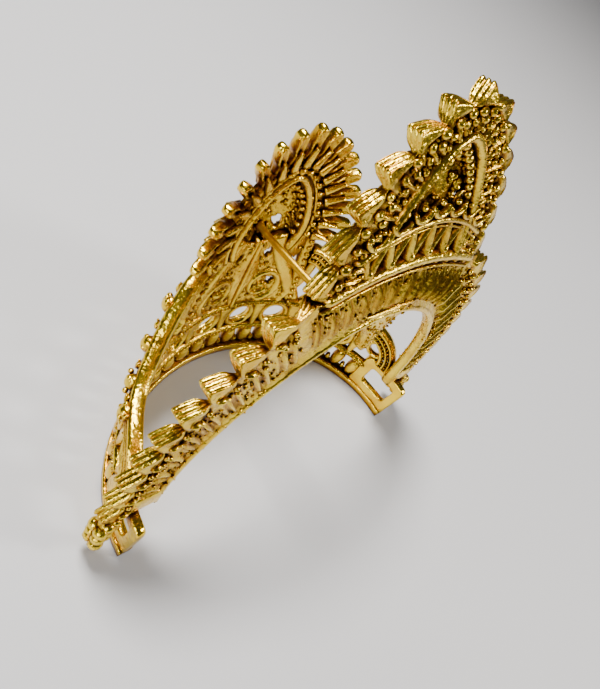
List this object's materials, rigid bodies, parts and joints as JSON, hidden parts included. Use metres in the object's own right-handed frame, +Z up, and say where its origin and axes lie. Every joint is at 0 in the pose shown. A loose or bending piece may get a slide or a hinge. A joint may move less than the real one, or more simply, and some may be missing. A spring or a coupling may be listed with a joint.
{
  "type": "deity crown",
  "caption": "Small gilt cast brass crown for a deity figure: a half-oval openwork band with a rayed front leaf, a rayed ear-to-ear arch with a tall crest, and a thin rod between them",
  "frame": {"origin": "on the surface that the crown stands on, in the mirror plane, under the middle of the crown's box; the band's two ends are 18.6 mm behind it", "axes": "+Z up; -Y is the front that the leaf faces; +X is the wearer's left; X = 0 is the mirror plane"},
  "size_m": [0.0748, 0.0372, 0.0753],
  "materials": {
    "gilt_band": "bright gold plate over cast brass, darker orange in the recesses",
    "gilt_arch": "bright gold plate over cast brass, darker orange in the recesses",
    "gilt_rod": "smooth gold-plated drawn rod, deeper orange gold"
  },
  "bodies": {
    "root": {"front_band": "gilt_band", "rear_arch": "gilt_arch", "strut": "gilt_rod"}
  },
  "joints": []
}
